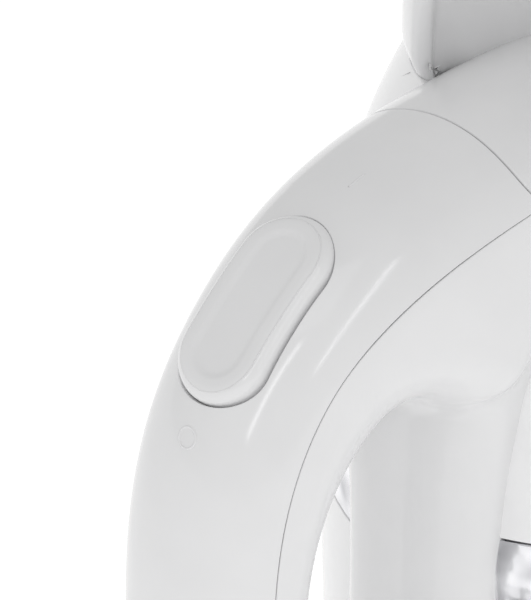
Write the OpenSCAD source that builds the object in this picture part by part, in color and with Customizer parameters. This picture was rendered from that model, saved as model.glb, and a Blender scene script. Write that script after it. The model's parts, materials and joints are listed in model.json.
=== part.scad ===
// Hand mixer with a loop handle, standing on its heel.
// The motor axis is Z and the nose points up. The handle is on the -X side, the two beaters
// leave the body on the +X side, and y = 0 is the mirror plane. Origin: centre of the heel.

/* [Body] */
// Largest radius of the motor body
body_r = 45; // [44.5:0.5:45.5]
// Radius of the body at the heel
heel_r = 38.5; // [37.5:0.5:39.5]
// Thickness of the plastic shells
wall = 2.2; // [2:0.1:2.4]
// Width of the slanted trim band
band_w = 11; // [8:1:13]
// Slant of the trim band in degrees
band_tilt = 9; // [6:1:11]

/* [Handle] */
// Half-width of the handle where the hand closes round it
grip_w = 13.95; // [13.5:0.25:14.5]
// Half-width of the bridge where it runs over the nose
bridge_w = 20.2; // [19.7:0.25:20.7]
// Half-width of the spine behind the fingers
spine_w = 12.8; // [12:0.2:13.4]
// Radius of the corners of the finger gap beside the spine
gap_corner = 7; // [6:0.5:8]

/* [Nose] */
// Outer radius of the nose cap
cap_r = 34.2; // [33.8:0.2:34.6]
// Height of the nose cap's top face
cap_top = 176; // [175:1:178]
// Radius of the speed dial
dial_r = 18; // [16:0.5:19]

/* [Beaters] */
// Radius of a beater's wire cage
cage_r = 17.5; // [15:0.5:18]
// Distance from the motor axis to a beater's tip
beater_reach = 164; // [150:1:170]
// Thickness of the cage wires
wire = 2.6; // [2.2:0.2:3]

/* [Drive] */
// Teeth on each worm wheel
teeth = 29; // [29:2:31]
// Distance from the motor axis to a beater's axis
beater_y = 19; // [19:1:19]
// Height of the beater axes above the heel
beater_z = 136; // [135:1:137]
// Radius of the motor shaft
shaft_r = 3; // [2.8:0.1:3.2]
// Radius of the rotor core
rotor_r = 16.8; // [16:0.2:17]

/* [Hidden] */
$fn = 64;

// Body outline: widest at waist_z, drawn in towards the heel and towards the shoulder.
waist_z = 88;
shoulder_z = 157;
shoulder_r = 33.2;
seam = 0.3;
band_z = 102;

// Handle loop, in the plane y = 0. Each curve runs from the hand side to the body side.
handle_x = -96.1;
gap_x = -76;
outer_top = [-20.9, 162];
gap_top = [-36.9, 132];
outer_low = [-30, 16];
gap_low = 42;
gap_low_r = 16;
join_t = 51.5;
seam_t = 82;
parting = 7.2;
inside_x = -30;
slot_w = 15.6;
slot_x = -24;

// Rocker opening, square to the handle's outer curve at rocker_t.
rocker_t = 46.5;
rocker_l = 29.6;
rocker_w = 15.2;
rocker_gap = 0.8;
rocker_pivot = 7;
pin_r = 1.5;
running = 0.05;

// Drive train stations along Z.
fan_z = 90;
stack_z = 48;
stack_h = 30;
rear_plate_z = 19;
front_plate_z = 106;
frame_z = 112;
worm_z = 124;
worm_l = 24;
worm_crest = 4.5;
lead = PI;
wheel_r = beater_y - 3.1;
wheel_t = 5;
shank_r = 3;
hub_r = 5;
plate_x = 10;
plate_t = 3;
shank_end = -15;
neck_x = 92;
eject_travel = 5;
dial_x = 11;

function body_radius(z) = z > waist_z
    ? body_r - (body_r - shoulder_r) * pow((z - waist_z) / (shoulder_z - waist_z), 3.2)
    : body_r - (body_r - heel_r) * pow((waist_z - z) / waist_z, 2.2);

function mix(a, b, u) = a + (b - a) * u;
function toward(a, b, d) = a + (b - a) * d / norm(b - a);
function ramp(u) = (u + sqrt(u * u + 0.04)) / 2;

// A quarter of a superellipse of power p, from the side x to the end point [x, z].
function corner(side, base, end, p, t) = [
    end[0] - (end[0] - side) * pow(cos(t), 2 / p),
    base + (end[1] - base) * pow(sin(t), 2 / p)
];
function outer_up(t) = corner(handle_x, 94, outer_top, 3.02, t);
function gap_up(t) = corner(gap_x, 99.7, gap_top, 2.27, t);
function outer_down(t) = corner(handle_x, 72, outer_low, 2.6, t);
function gap_down(t) =
    corner(gap_x, gap_low + gap_low_r, [gap_x + gap_low_r, gap_low], 2, t);
function width_up(t) = grip_w + (bridge_w - grip_w) * ramp((t - 45) / 45);
function width_down(t) = grip_w + 2 * ramp((t - 45) / 45);
function parting_depth(t) = parting + 2 * sin(2 * t);

// Skins a row of sections, each a list of points. A section goes out along one side of a shell
// and back along the other, so an end cap is a strip between them; closed needs no caps.
module skin(sections, closed = false) {
    n = len(sections[0]);
    m = len(sections);
    sides = [
        for (i = [0:m - (closed ? 1 : 2)], j = [0:n - 1])
            let (a = i * n, b = ((i + 1) % m) * n, k = (j + 1) % n)
            each [[a + j, b + j, b + k], [a + j, b + k, a + k]]
    ];
    strip = [for (j = [0:n / 2 - 2]) each [[j, j + 1, n - 2 - j], [j, n - 2 - j, n - 1 - j]]];
    end_strip = [for (f = strip) [for (v = [2:-1:0]) f[v] + (m - 1) * n]];
    faces = closed ? sides : concat(sides, strip, end_strip);
    polyhedron(points = [for (s = sections) each s], faces = faces, convexity = 8);
}

// A point at depth d from a towards b in the plane y = 0, moved sideways by y.
function side_point(a, b, d, y) = let (p = toward(a, b, d)) [p[0], y, p[1]];

// Shell section that follows the outer side of the handle down to the parting line.
function cap_section(o, h, w, s) =
    let (
        half = norm(h - o) / 2,
        reach = acos((half - s) / half),
        inner_reach = acos((half - s) / (half - wall)),
        steps = 8
    )
    concat(
        [for (i = [-steps:steps]) let (a = reach * i / steps)
            side_point(o, h, half * (1 - cos(a)), w * sin(a))],
        [for (i = [steps:-1:-steps]) let (a = inner_reach * i / steps)
            side_point(o, h, half - (half - wall) * cos(a), (w - wall) * sin(a))]
    );

// Shell section that faces the finger gap. a is the depth of its rounded front, and its legs
// run on to p, narrowing when tuck is 1 and parallel when it is 0.
function leg_width(w, a, tuck, d) =
    d < a ? w * sqrt(1 - pow((a - d) / a, 2)) : w * sqrt(max(0.05, 1 - pow(tuck * (d - a) / a, 2)));
function gap_section(h, p, w, a, tuck) =
    let (
        far = norm(p - h),
        start = toward(h, p, wall),
        depths = concat([for (b = [0:22.5:90]) a * (1 - cos(b))],
                        [for (k = [1:3]) mix(a, far, k / 3)]),
        thin = a - wall,
        inner = concat([for (b = [0:22.5:90]) thin * (1 - cos(b))],
                       [for (k = [1:3]) mix(thin, far - wall, k / 3)]),
        n = len(depths) - 1
    )
    concat(
        [for (i = [n:-1:0]) side_point(h, p, depths[i], -leg_width(w, a, tuck, depths[i]))],
        [for (i = [1:n]) side_point(h, p, depths[i], leg_width(w, a, tuck, depths[i]))],
        [for (i = [n:-1:0])
            side_point(start, p, inner[i], leg_width(w - wall, thin, tuck * thin / a, inner[i]))],
        [for (i = [1:n])
            side_point(start, p, inner[i], -leg_width(w - wall, thin, tuck * thin / a, inner[i]))]
    );

// Stations round the finger gap.
function rim_up(t) = toward(outer_up(t), gap_up(t), parting_depth(t));
function rim_down(t) = toward(outer_down(t), gap_down(t), parting_depth(t));
gap_slope = gap_up(join_t + 0.5) - gap_up(join_t - 0.5);
gap_normal = [gap_slope[1], -gap_slope[0]] / norm(gap_slope);
corner_c = gap_up(join_t) + gap_corner * gap_normal;
join_a = atan2(-gap_normal[1], -gap_normal[0]);
spine_x = corner_c[0] + gap_corner;
low_c = [corner_c[0], gap_low + gap_corner];
spine_a = 8.5;
function spine_width(z) = spine_w + 1.9 * pow((z - waist_z) / 32, 2);
function on_circle(c, r, a) = c + r * [cos(a), sin(a)];

up_stations = [for (t = [0:join_t / 10:join_t - 1])
    gap_section(gap_up(t), rim_up(t), width_up(t), norm(outer_up(t) - gap_up(t)) / 2, 1)];
top_corner_stations = [for (i = [0:12])
    let (
        a = join_a * (1 - i / 12),
        u = min(1, (join_a - a) / (join_a - 45)),
        t = mix(join_t, 90, u),
        v = max(0, (45 - a) / 45),
        p = mix(rim_up(t), [inside_x, corner_c[1]], v),
        w = mix(width_up(t), spine_width(corner_c[1]), v * (2 - v))
    )
    gap_section(on_circle(corner_c, gap_corner, a), p, w, mix(14.5, spine_a, i / 12), 1 - u)];
spine_stations = [for (z = [110:-15:65])
    gap_section([spine_x, z], [inside_x, z], spine_width(z), spine_a, 0)];
low_corner_stations = [for (i = [0:5])
    let (a = -90 * i / 5, u = i / 5, w = mix(spine_width(low_c[1]), width_down(90), u))
    gap_section(on_circle(low_c, gap_corner, a), mix([inside_x, low_c[1]], rim_down(90), u), w,
                mix(spine_a, 13, u), 0)];
down_stations = [for (t = [78:-13:0])
    gap_section(gap_down(t), rim_down(t), width_down(t),
                min(13, norm(outer_down(t) - gap_down(t)) / 2), 1 - t / 90)];

cap_stations = concat(
    [for (t = [90:-10:0]) cap_section(outer_down(t), gap_down(t), width_down(t), parting_depth(t))],
    [for (i = [0:16]) let (t = seam_t * i / 16)
        cap_section(outer_up(t), gap_up(t), width_up(t), parting_depth(t))]
);
head_stations = concat(
    [for (t = [seam_t + 0.8, 86, 88, 90])
        cap_section(outer_up(t), gap_up(t), width_up(t), parting_depth(t))],
    [cap_section([slot_x + slot_w - 1, outer_top[1]], [slot_x + slot_w - 1, gap_top[1]],
                 width_up(90), parting)]
);

// The round body, drawn in by inset, between two heights.
module body_solid(inset, z0, z1) {
    n = 20;
    rotate_extrude($fn = 96)
        polygon(concat(
            [[0, z0]],
            [for (i = [0:n]) let (z = mix(z0, z1, i / n)) [body_radius(z) - inset, z]],
            [[0, z1]]
        ));
}

// Everything above a plane that rises towards +X by the band's tilt.
module above(z) {
    translate([0, 0, z]) rotate([0, -band_tilt, 0]) translate([-80, -80, 0]) cube(160);
}

module body_shell(z0, z1) {
    difference() {
        body_solid(0, z0, z1);
        body_solid(wall, z0 - 1, z1 + 1);
    }
}

module ring(r_out, r_in, h) {
    difference() {
        cylinder(r = r_out, h = h);
        translate([0, 0, -1]) cylinder(r = r_in, h = h + 2);
    }
}

// Children along +X, on both beater axes.
module on_beater_axes(x) {
    for (side = [-1, 1]) translate([x, side * beater_y, beater_z]) rotate([0, 90, 0]) children();
}

// Children on the line square to the handle at the rocker, with +Z pointing outwards and X
// running up the handle.
rocker_out = outer_up(rocker_t);
rocker_dir = outer_up(rocker_t + 1) - outer_up(rocker_t - 1);
rocker_angle = atan2(rocker_dir[1], rocker_dir[0]);
module at_rocker(depth = 0) {
    translate([rocker_out[0], 0, rocker_out[1]]) rotate([0, -rocker_angle, 0])
        translate([0, 0, -depth]) children();
}

module racetrack(l, w, h) {
    linear_extrude(h) {
        for (s = [-1, 1]) translate([s * (l - w) / 2, 0]) circle(d = w);
        square([l - w, w], center = true);
    }
}

// ---- Housing ----

module rear_housing() {
    vent_n = 7;
    color("white") difference() {
        body_shell(3.4, 130);
        above(band_z - band_w / 2);
        translate([0, 0, 26]) rotate([-90, 0, 0]) cylinder(r = 6.1, h = 60);
        for (side = [0, 1], i = [0:vent_n - 1])
            mirror([0, side, 0]) rotate([0, 0, 28 + 8 * i]) translate([30, -1.2, 14])
                cube([20, 2.4, 22]);
    }
    // Screw posts for the heel plate, each on a rib that joins it to the shell.
    color("white") on_heel_screws(4.6) difference() {
        union() {
            cylinder(r = 4, h = 8);
            translate([2, -1, 0]) cube([5.2, 2, 8]);
        }
        translate([0, 0, -1]) cylinder(r = 1.6, h = 7.5);
    }
}

module on_heel_screws(z) {
    for (a = [45:90:315]) rotate([0, 0, a]) translate([30.5, 0, z]) children();
}

module front_housing() {
    color("white") difference() {
        union() {
            body_shell(50, shoulder_z);
            // Collar round each beater, from just inside the shell.
            on_beater_axes(26) cylinder(r = 9, h = 17);
        }
        on_beater_axes(20) cylinder(r = 7, h = 40);
        translate([0, 0, band_z + band_w / 2]) rotate([0, -band_tilt, 0])
            translate([-80, -80, -160]) cube(160);
    }
}

module chrome_band() {
    color("silver") difference() {
        intersection() {
            difference() {
                body_solid(-0.4, 70, 120);
                body_solid(wall, 69, 121);
            }
            above(band_z - band_w / 2 + seam / 2);
        }
        above(band_z + band_w / 2 - seam / 2);
    }
}

module nose_cap() {
    rim = shoulder_z + 0.2;
    outline = [
        [cap_r - 1.2, rim], [cap_r - 0.3, rim + 1.2], [cap_r, rim + 3.5], [cap_r - 0.4, 168],
        [cap_r - 1.2, 172], [cap_r - 2.6, 174.8], [cap_r - 5, cap_top]
    ];
    color("white") difference() {
        rotate_extrude($fn = 96) polygon(concat([[0, rim]], outline, [[0, cap_top]]));
        translate([0, 0, rim - 1]) cylinder(r = cap_r - 5, h = cap_top - wall - rim + 1);
        translate([slot_x, 0, rim - 1]) cylinder(r = slot_w, h = 30);
        translate([slot_x - 40, -slot_w, rim - 1]) cube([40, 2 * slot_w, 30]);
        translate([dial_x, 0, 160]) cylinder(r = 4, h = 30);
    }
    // Wall round the bridge's slot, open where the ejector's button comes through.
    color("white") difference() {
        translate([slot_x, 0, rim]) intersection() {
            ring(slot_w + wall, slot_w, cap_top - wall - rim + 0.5);
            translate([0, -30, 0]) cube([40, 60, 30]);
        }
        translate([slot_x, -7.4, rim - 1]) cube([40, 14.8, 17.6]);
    }
}

module head_cover() {
    color("gainsboro") difference() {
        skin(head_stations);
        body_solid(-seam, -1, shoulder_z + seam);
        // Runs inside the slot of the nose cap with a small gap.
        difference() {
            translate([0, 0, 150]) cylinder(r = cap_r + seam, h = 20);
            translate([slot_x, 0, 149]) cylinder(r = slot_w - seam, h = 22);
            translate([slot_x - 40, -slot_w + seam, 149]) cube([40, 2 * (slot_w - seam), 22]);
        }
    }
}

module handle_cap() {
    color("gainsboro") difference() {
        skin(cap_stations);
        body_solid(-0.7, -1, shoulder_z + 0.7);
        at_rocker(8) racetrack(rocker_l, rocker_w, 14);
    }
}

module handle_grip() {
    color("gainsboro") difference() {
        skin(concat(up_stations, top_corner_stations, spine_stations, low_corner_stations,
                    down_stations), closed = true);
        body_solid(-0.7, -1, shoulder_z + 0.7);
    }
}

module heel_plate() {
    color("gainsboro") difference() {
        union() {
            translate([0, 0, 0.8]) cylinder(r1 = heel_r - 1.5, r2 = heel_r, h = 2.3);
            translate([0, 0, 3.1]) cylinder(r = heel_r - wall - 0.4, h = 1.4);
        }
        translate([0, 0, -1]) cylinder(r = 26.2, h = 3.2);
        on_heel_screws(-1) {
            cylinder(r = 1.7, h = 8);
            cylinder(r = 3.3, h = 3.2);
        }
    }
}

module heel_pad() {
    color("dimgray") cylinder(r = 26, h = 2.2);
}

module cord_bushing() {
    color("dimgray") translate([0, 0, 26]) rotate([-90, 0, 0]) difference() {
        union() {
            translate([0, 0, 30.5]) cylinder(r = 6, h = 15);
            translate([0, 0, 43.1]) cylinder(r = 7.6, h = 2.4);
            translate([0, 0, 34]) cylinder(r = 7.6, h = 3.4);
        }
        translate([0, 0, 29]) cylinder(r = 3.6, h = 20);
    }
}

// ---- Motor ----

module motor_stator() {
    color("slategray") difference() {
        translate([0, 0, stack_z]) intersection() {
            cylinder(r = 35, h = stack_h);
            translate([-31.5, -25, 0]) cube([63, 50, stack_h]);
        }
        translate([0, 0, stack_z - 1]) cylinder(r = rotor_r + 0.6, h = stack_h + 2);
        for (sx = [-1, 1], sy = [-1, 1])
            translate([sx * 21.5 - 3.3, sy * 15 - 3.3, stack_z - 1]) cube([6.6, 6.6, stack_h + 2]);
        on_motor_screws(0) cylinder(r = 1.8, h = 120);
    }
}

module field_coils() {
    color("peru") for (sx = [-1, 1]) translate([sx * 21.5, 0, stack_z + stack_h / 2]) difference() {
        cube([6, 36, 42], center = true);
        cube([7, 24, 31], center = true);
    }
}

// Cross bar with a bearing seat and two arms that reach from z to the stator at stack_z.
module bearing_bracket(z, stack_z) {
    low = min(z, stack_z);
    difference() {
        union() {
            translate([0, 0, z]) cylinder(r = 9, h = 6);
            for (sx = [0, 1]) mirror([sx, 0, 0]) {
                translate([5, -5, z]) cube([26, 10, 3]);
                translate([24.8, -5, low]) cube([6.2, 10, max(z + 3, stack_z) - low]);
            }
        }
        translate([0, 0, z - 1]) cylinder(r = 6, h = 8);
        on_motor_screws(0) cylinder(r = 1.8, h = 120);
    }
}

module on_motor_screws(z) {
    for (sx = [-1, 1]) translate([sx * 27.9, 0, z]) children();
}

module rear_bracket() {
    color("silver") bearing_bracket(rear_plate_z, stack_z);
}

module front_bracket() {
    color("silver") bearing_bracket(front_plate_z, stack_z + stack_h);
}

module shaft_bearings() {
    color("darkgoldenrod") for (z = [rear_plate_z, front_plate_z])
        translate([0, 0, z]) ring(6, shaft_r + running, 6);
}

module brush_holders() {
    color("dimgray") for (side = [0, 1]) mirror([0, side, 0]) translate([0, 11, 31]) difference() {
        translate([-4.5, 0, 0]) cube([9, 14, 8]);
        translate([-2.6, -1, 1.9]) cube([5.2, 14, 4.2]);
    }
}

module carbon_brushes() {
    color("black") for (side = [0, 1]) mirror([0, side, 0])
        translate([-2.5, 9.1, 33]) cube([5, 8, 4]);
}

module brush_springs() {
    color("silver") for (side = [0, 1]) mirror([0, side, 0])
        translate([0, 17.2, 35]) rotate([-90, 0, 0]) coil_spring(1.6, 0.5, 6.6, 4);
}

module motor_screws() {
    color("silver") on_motor_screws(rear_plate_z) {
        cylinder(r = 1.6, h = front_plate_z - rear_plate_z + 5);
        translate([0, 0, -2.4]) cylinder(r = 3, h = 2.4);
        translate([0, 0, front_plate_z - rear_plate_z + 3]) cylinder(r = 2.9, h = 2.4, $fn = 6);
    }
}

// Square-wire helical spring along +Z.
module coil_spring(r, t, h, turns) {
    linear_extrude(h, twist = -360 * turns, slices = 12 * turns, segments = 10, convexity = 6)
        polygon(concat(
            [for (a = [0:36:144]) (r + t / 2) * [cos(a), sin(a)]],
            [for (a = [144:-36:0]) (r - t / 2) * [cos(a), sin(a)]]
        ));
}

module motor_shaft() {
    color("silver") translate([0, 0, 16]) cylinder(r = shaft_r, h = worm_z - 16);
}

module rotor_core() {
    color("slategray") translate([0, 0, stack_z]) difference() {
        cylinder(r = rotor_r, h = stack_h);
        translate([0, 0, -1]) cylinder(r = shaft_r, h = stack_h + 2);
        for (a = [0:30:330]) rotate([0, 0, a]) translate([rotor_r - 1.5, -0.8, -1])
            cube([4, 1.6, stack_h + 2]);
    }
}

module rotor_windings() {
    color("peru") for (z = [stack_z - 6, stack_z + stack_h]) translate([0, 0, z]) difference() {
        union() {
            cylinder(r = 13.5, h = 6);
            translate([0, 0, z < stack_z ? 3 : 0]) cylinder(r = 15, h = 3);
        }
        translate([0, 0, -1]) cylinder(r = shaft_r, h = 8);
    }
}

module commutator() {
    bars = 24;
    color("darkorange") translate([0, 0, 28]) difference() {
        union() {
            cylinder(r = 9, h = 13);
            translate([0, 0, 12]) cylinder(r = 10.2, h = 1.6);
        }
        translate([0, 0, -1]) cylinder(r = shaft_r, h = 16);
        for (i = [0:bars - 1]) rotate([0, 0, 360 / bars * (i + 0.5)]) translate([8.3, -0.2, -1])
            cube([4, 0.4, 12]);
    }
}

module cooling_fan() {
    blades = 9;
    color("dimgray") translate([0, 0, fan_z]) difference() {
        union() {
            cylinder(r = 7, h = 10);
            cylinder(r = 22, h = 1.6);
            for (i = [0:blades - 1]) rotate([0, 0, 360 / blades * i]) translate([6, -0.7, 1])
                cube([16, 1.4, 8.5]);
        }
        translate([0, 0, -1]) cylinder(r = shaft_r, h = 12);
    }
}

// ---- Gearbox ----

module worm() {
    turns = worm_l / lead;
    color("silver") {
        translate([0, 0, worm_z]) linear_extrude(worm_l, twist = -360 * turns,
                slices = 14 * round(turns), segments = 16, convexity = 6)
            rotate([0, 0, -90 - 360 * (beater_z - worm_z) / lead]) translate([0.9, 0])
                circle(r = worm_crest - 0.9, $fn = 16);
        translate([0, 0, worm_z + worm_l]) cylinder(r = 2, h = 6);
    }
}

// Outline of a worm wheel: slim pointed teeth on the pitch of the worm.
function wheel_outline(r, depth) = [
    for (i = [0:teeth - 1], k = [[-0.36, 0], [-0.07, 1], [0.07, 1], [0.36, 0]])
        let (a = 180 + 360 / teeth * (i + k[0])) (r - depth + depth * k[1]) * [cos(a), sin(a)]
];

module worm_wheel(side) {
    // The wheel's own axis is X, so its outline is turned to lie in the YZ plane.
    translate([0, side * beater_y, beater_z]) rotate([90, 0, 90]) difference() {
        union() {
            translate([0, 0, -wheel_t / 2]) linear_extrude(wheel_t)
                polygon(wheel_outline(wheel_r, 1.7));
            translate([0, 0, -plate_x + 0.6]) cylinder(r = 7, h = 2 * plate_x - 1.2);
            translate([0, 0, -plate_x - plate_t]) cylinder(r = hub_r, h = 2 * (plate_x + plate_t));
        }
        translate([0, 0, -20]) cylinder(r = shank_r + running, h = 40);
    }
}

module worm_wheel_left() {
    color("ivory") worm_wheel(1);
}

module worm_wheel_right() {
    color("ivory") worm_wheel(-1);
}

module on_gearbox_screws(x) {
    for (side = [-1, 1]) translate([x, side * 27, frame_z + 5.6]) rotate([0, 90, 0]) children();
}

module bush_plate(x) {
    difference() {
        translate([x, -32, frame_z + 3]) cube([plate_t, 64, 37]);
        on_beater_axes(x - 1) cylinder(r = 7, h = 6);
        // Corners drawn in so that the plate clears the tapering shell.
        for (side = [0, 1]) mirror([0, side, 0]) translate([x - 1, 32, 143]) rotate([45, 0, 0])
            translate([0, -10, -12]) cube([5, 20, 30]);
        on_gearbox_screws(x - 1) cylinder(r = 1.5, h = 6);
    }
}

module gearbox_frame() {
    color("silver") {
        difference() {
            translate([0, 0, frame_z]) cylinder(r = 39, h = 3);
            translate([0, 0, frame_z - 1]) cylinder(r = 8, h = 5);
        }
        bush_plate(-plate_x - plate_t);
        difference() {
            for (side = [-1, 1]) translate([-plate_x, side * 27 - 3.5, frame_z + 3])
                cube([2 * plate_x, 7, 5]);
            on_gearbox_screws(1) cylinder(r = 1.5, h = 20);
        }
    }
}

module gearbox_cover() {
    color("silver") bush_plate(plate_x);
}

module wheel_bushes() {
    color("darkgoldenrod") for (x = [-plate_x - plate_t, plate_x])
        on_beater_axes(x) ring(7, hub_r + running, plate_t);
}

module worm_tip_bush() {
    color("darkgoldenrod") translate([0, 0, worm_z + worm_l + 1]) {
        ring(5, 2 + running, 4);
    }
    // Strap that holds the bush between the two plates.
    color("silver") translate([-plate_x, -6, worm_z + worm_l + 1]) difference() {
        cube([2 * plate_x, 12, 3]);
        translate([plate_x, 6, -1]) cylinder(r = 5, h = 5);
    }
}

module beater_seals() {
    color("dimgray") on_beater_axes(36) difference() {
        cylinder(r = 7, h = 3);
        translate([0, 0, -1]) cylinder(r = 5.6, h = 5);
    }
}

module gearbox_screws() {
    color("silver") on_gearbox_screws(1) {
        cylinder(r = 1.5, h = plate_x + plate_t - 1);
        translate([0, 0, plate_x + plate_t - 1]) cylinder(r = 2.5, h = 2);
    }
}

module heel_screws() {
    color("silver") on_heel_screws(0.8) difference() {
        union() {
            cylinder(r = 3, h = 1.4);
            cylinder(r = 1.6, h = 9);
        }
        translate([-2, -0.4, -1]) cube([4, 0.8, 1.6]);
    }
}

// ---- Controls ----

module power_rocker() {
    l = rocker_l - 2 * rocker_gap;
    w = rocker_w - 2 * rocker_gap;
    color("whitesmoke") at_rocker() difference() {
        union() {
            translate([0, 0, -4.2]) racetrack(l, w, 3);
            translate([0, 0, -1.3]) racetrack(l - 1.6, w - 1.6, 0.9);
            translate([-3, -4, -rocker_pivot - 2.6]) cube([6, 8, 6]);
        }
        translate([0, 0, -rocker_pivot]) rotate([90, 0, 0])
            cylinder(r = pin_r + running, h = 20, center = true);
    }
}

module rocker_pin() {
    color("silver") at_rocker(rocker_pivot) rotate([90, 0, 0])
        cylinder(r = pin_r, h = 13, center = true);
}

module rocker_cradle() {
    color("dimgray") at_rocker(rocker_pivot) difference() {
        for (side = [-1, 1]) translate([-3.4, side * 5.5 - 1, -5]) cube([6.8, 2, 7.4]);
        rotate([90, 0, 0]) cylinder(r = pin_r, h = 20, center = true);
    }
}

module handle_switch() {
    color("black") at_rocker(rocker_pivot + 5) {
        translate([-7, -6.6, -3.4]) cube([14, 13.2, 3.4]);
        for (x = [-4, 4]) translate([x - 0.4, -1.5, -5.8]) cube([0.8, 3, 2.5]);
    }
}

module speed_dial() {
    grips = 18;
    color("gainsboro") translate([dial_x, 0, cap_top + 0.5]) difference() {
        union() {
            cylinder(r = dial_r, h = 4);
            cylinder(r = dial_r - 0.8, h = 12);
            translate([0, 0, 12]) cylinder(r1 = dial_r - 0.8, r2 = dial_r - 2.4, h = 2);
        }
        for (i = [0:grips - 1]) rotate([0, 0, 360 / grips * i])
            translate([dial_r + 0.4, 0, 4.5]) cylinder(r = 1.8, h = 12);
        translate([0, 0, -1]) cylinder(r = 3, h = 9);
        translate([dial_r - 8, -0.6, 13.2]) cube([5, 1.2, 2]);
    }
}

module dial_spindle() {
    color("silver") translate([dial_x, 0, 165]) cylinder(r = 3, h = cap_top + 8.5 - 165);
}

module speed_switch() {
    color("darkgreen") translate([dial_x, 0, 162]) difference() {
        cylinder(r = 9, h = 9);
        translate([0, 0, 2.9]) cylinder(r = 3 + running, h = 8);
    }
}

module speed_board() {
    color("darkgreen") translate([0, 0, 8]) cylinder(r = 26, h = 1.6);
    color("black") {
        translate([-16, -12, 9.6]) cube([12, 9, 3.6]);
        translate([8, -14, 9.6]) cube([9, 6, 3.8]);
        for (x = [-12, -4, 6]) translate([x, 12, 9.6]) cylinder(r = 2.6, h = 3.6);
    }
}

module eject_button() {
    color("gainsboro") difference() {
        translate([-12.4, -7, 164.6]) cube([6, 14, 9]);
        // Finger hollow in the pressed face.
        translate([-25, 0, 169]) rotate([90, 0, 0]) cylinder(r = 13.4, h = 20, center = true);
    }
}

module eject_fork() {
    arm_x = -26;
    color("dimgray") {
        translate([-6.4, -6, 158.2]) cube([1.8, 12, 14]);
        translate([arm_x, -6, 157.4]) cube([21.4, 12, 1.2]);
        translate([arm_x, -6, 150]) cube([2, 12, 8]);
        translate([arm_x, -23, 132]) cube([2, 46, 10]);
        translate([arm_x, -6, 140]) cube([2, 12, 12]);
        on_beater_axes(arm_x + 1.5) cylinder(r = 2.6, h = shank_end - eject_travel - 0.3 - arm_x - 1.5);
    }
}

module eject_spring() {
    color("silver") translate([-23.9, 0, beater_z]) rotate([0, 90, 0]) coil_spring(3.4, 0.7, 10.7, 5);
}

// ---- Beaters ----

// Half a loop of wire in the XY plane, from the neck hub round to the tip hub.
module half_loop() {
    tip_x = beater_reach - cage_r;
    shoulder = cage_r - 4;
    translate([tip_x, 0, 0]) mirror([0, 1, 0]) rotate([0, 0, -90]) rotate_extrude(angle = 80)
        translate([cage_r, 0]) circle(d = wire);
    translate([neck_x + shoulder, cage_r, 0]) rotate([0, 90, 0])
        cylinder(d = wire, h = tip_x - neck_x - shoulder);
    translate([neck_x + shoulder, 4, 0]) rotate([0, 0, 90]) rotate_extrude(angle = 90)
        translate([shoulder, 0]) circle(d = wire);
}

module beater(side) {
    translate([0, side * beater_y, beater_z]) rotate([0, 90, 0]) {
        translate([0, 0, shank_end]) cylinder(r = shank_r, h = neck_x - shank_end);
        translate([0, 0, 44.5]) cylinder(r = 8, h = 1.6);
        translate([0, 0, neck_x - 3.4]) cylinder(r = 5.6, h = 6.8);
        translate([0, 0, beater_reach - 2.2]) cylinder(r = 5, h = 4);
    }
    translate([0, side * beater_y, beater_z])
        for (a = [45:90:315]) rotate([a, 0, 0]) half_loop();
}

module beater_left() {
    color("silver") beater(1);
}

module beater_right() {
    color("silver") beater(-1);
}

rear_housing();
front_housing();
chrome_band();
nose_cap();
head_cover();
handle_cap();
handle_grip();
heel_plate();
heel_pad();
cord_bushing();
motor_stator();
field_coils();
rear_bracket();
front_bracket();
shaft_bearings();
brush_holders();
carbon_brushes();
brush_springs();
speed_board();
speed_switch();
handle_switch();
rocker_cradle();
gearbox_frame();
gearbox_cover();
worm_tip_bush();
wheel_bushes();
beater_seals();
heel_screws();
motor_screws();
gearbox_screws();
power_rocker();
rocker_pin();
speed_dial();
dial_spindle();
eject_button();
eject_fork();
eject_spring();
motor_shaft();
rotor_core();
rotor_windings();
commutator();
cooling_fan();
worm();
worm_wheel_left();
worm_wheel_right();
beater_left();
beater_right();
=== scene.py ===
"""The looks of the hand mixer. Every length is in millimetres until new_piece() makes a mesh."""

import json
import math

import bpy
import numpy as np
from mathutils import Matrix, Vector


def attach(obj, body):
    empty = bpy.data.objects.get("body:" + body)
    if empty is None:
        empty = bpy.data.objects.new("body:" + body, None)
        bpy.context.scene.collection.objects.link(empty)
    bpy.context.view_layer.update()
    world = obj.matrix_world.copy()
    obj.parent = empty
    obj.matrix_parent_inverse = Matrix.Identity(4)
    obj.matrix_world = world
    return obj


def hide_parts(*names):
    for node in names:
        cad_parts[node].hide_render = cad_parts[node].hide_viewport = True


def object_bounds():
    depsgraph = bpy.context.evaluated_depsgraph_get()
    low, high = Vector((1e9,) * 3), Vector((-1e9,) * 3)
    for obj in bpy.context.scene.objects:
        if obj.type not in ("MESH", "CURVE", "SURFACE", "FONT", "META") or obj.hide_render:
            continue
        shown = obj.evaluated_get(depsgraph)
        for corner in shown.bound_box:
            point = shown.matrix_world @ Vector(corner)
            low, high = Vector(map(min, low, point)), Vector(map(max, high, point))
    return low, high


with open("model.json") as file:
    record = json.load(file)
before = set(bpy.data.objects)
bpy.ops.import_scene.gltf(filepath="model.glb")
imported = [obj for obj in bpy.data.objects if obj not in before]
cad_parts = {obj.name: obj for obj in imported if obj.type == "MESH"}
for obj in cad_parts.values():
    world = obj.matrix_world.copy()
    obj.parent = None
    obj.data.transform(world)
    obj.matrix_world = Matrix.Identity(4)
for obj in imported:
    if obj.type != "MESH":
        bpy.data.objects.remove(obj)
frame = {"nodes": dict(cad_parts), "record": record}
cad_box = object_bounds()

MM = 0.001

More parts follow.
